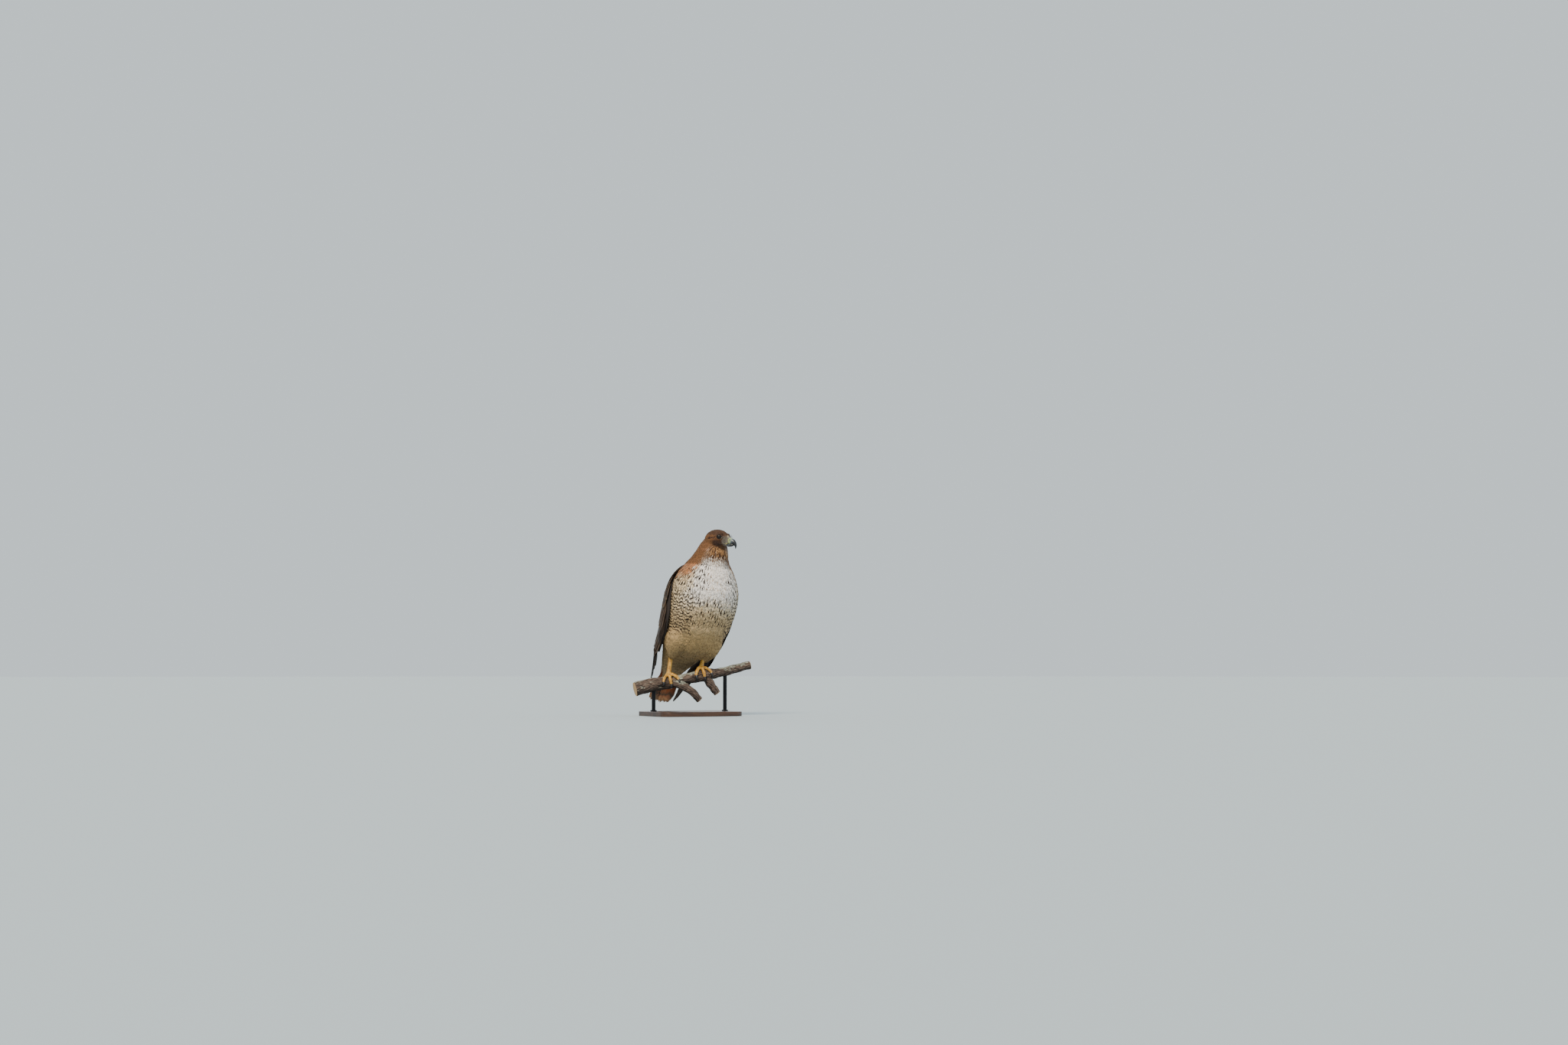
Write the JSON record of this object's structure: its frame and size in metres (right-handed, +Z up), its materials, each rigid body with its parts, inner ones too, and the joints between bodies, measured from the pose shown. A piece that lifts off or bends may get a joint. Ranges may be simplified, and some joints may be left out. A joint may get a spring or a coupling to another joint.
{
  "type": "red-tailed hawk",
  "caption": "Life-size red-tailed hawk standing upright on a cut length of branch, wings folded and head turned to its left, held over a flat base by plain rods.",
  "frame": {"origin": "centre of the underside of the stand's base, on the floor", "axes": "+Z up, -Y the way the bird's body faces, +X the bird's left"},
  "size_m": [0.3105, 0.2699, 0.4824],
  "materials": {
    "feather_head": "mottled rufous-brown feathers",
    "feather_body": "white and buff feathers with dark streaks and bars",
    "feather_thigh": "buff feathers",
    "feather_wing": "dark brown feathers with pale edges",
    "feather_tail": "rufous feathers with a dark band near the tip",
    "eye": "glossy dark brown",
    "cere": "waxy pale greenish yellow",
    "bill": "blue-grey horn, black at the tip",
    "leg": "scaly yellow skin",
    "claw": "polished black horn",
    "bark": "grey-brown bark with lichen",
    "rod": "satin black",
    "base": "dark stained wood, satin"
  },
  "bodies": {
    "root": {"head": "feather_head", "neck": "feather_head", "torso": "feather_body", "thigh_right": "feather_thigh", "thigh_left": "feather_thigh", "wing_right": "feather_wing", "wing_left": "feather_wing", "tail": "feather_tail", "eye_right": "eye", "eye_left": "eye", "cere": "cere", "bill_upper": "bill", "bill_lower": "bill", "leg_right": "leg", "leg_left": "leg", "foot_right": "leg", "foot_left": "leg", "claw_right_inner": "claw", "claw_right_middle": "claw", "claw_right_outer": "claw", "claw_right_hind": "claw", "claw_left_inner": "claw", "claw_left_middle": "claw", "claw_left_outer": "claw", "claw_left_hind": "claw", "perch_limb": "bark", "perch_fork_front": "bark", "perch_fork_low": "bark", "stand_rod_right": "rod", "stand_rod_left": "rod", "stand_base": "base"}
  },
  "joints": []
}
